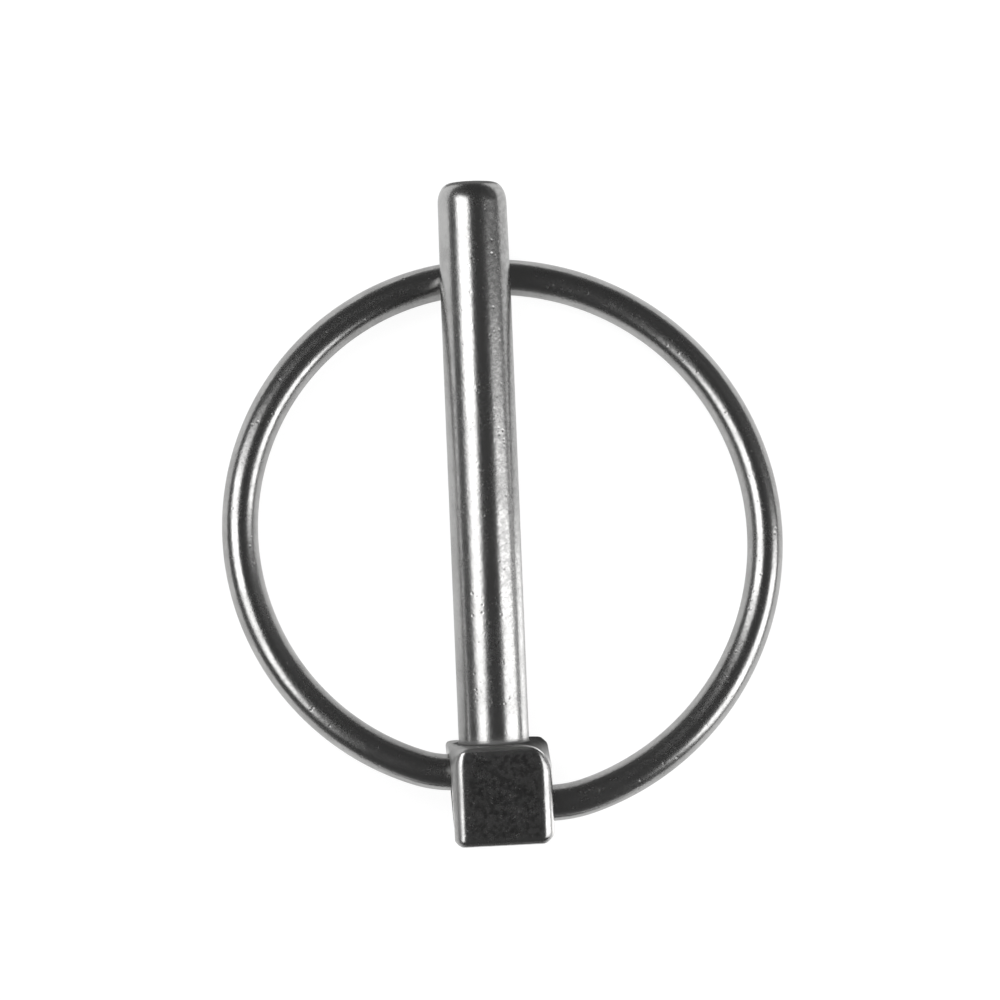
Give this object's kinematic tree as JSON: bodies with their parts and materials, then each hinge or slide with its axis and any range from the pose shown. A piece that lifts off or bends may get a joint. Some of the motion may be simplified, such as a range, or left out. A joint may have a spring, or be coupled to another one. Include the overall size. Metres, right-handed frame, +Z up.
{
  "type": "ring linch pin",
  "caption": "Round steel pin with a block head in one piece and a sprung wire ring that swings on the head and closes across the shank.",
  "frame": {"origin": "where the axis of the shank meets the shoulder of the head", "axes": "+Y along the shank from the head towards the tip, which rises 2.15 degrees; +Z up from the floor that the part lies on; +X to the right, with the tip pointing away"},
  "size_m": [0.0484, 0.0563, 0.0093],
  "materials": {
    "pin_steel": "polished stainless steel with fine pits",
    "ring_steel": "polished stainless spring wire with fine drawing marks"
  },
  "bodies": {
    "pin": {"pin": "pin_steel"},
    "ring": {"ring": "ring_steel"}
  },
  "joints": [
    {"name": "ring_swing", "type": "hinge", "parent": "pin", "child": "ring", "pos_m": [0, -0.0039, -0.00015], "axis": [-1, 0, 0], "range_deg": [0, 348], "deforming": ["ring"]}
  ]
}
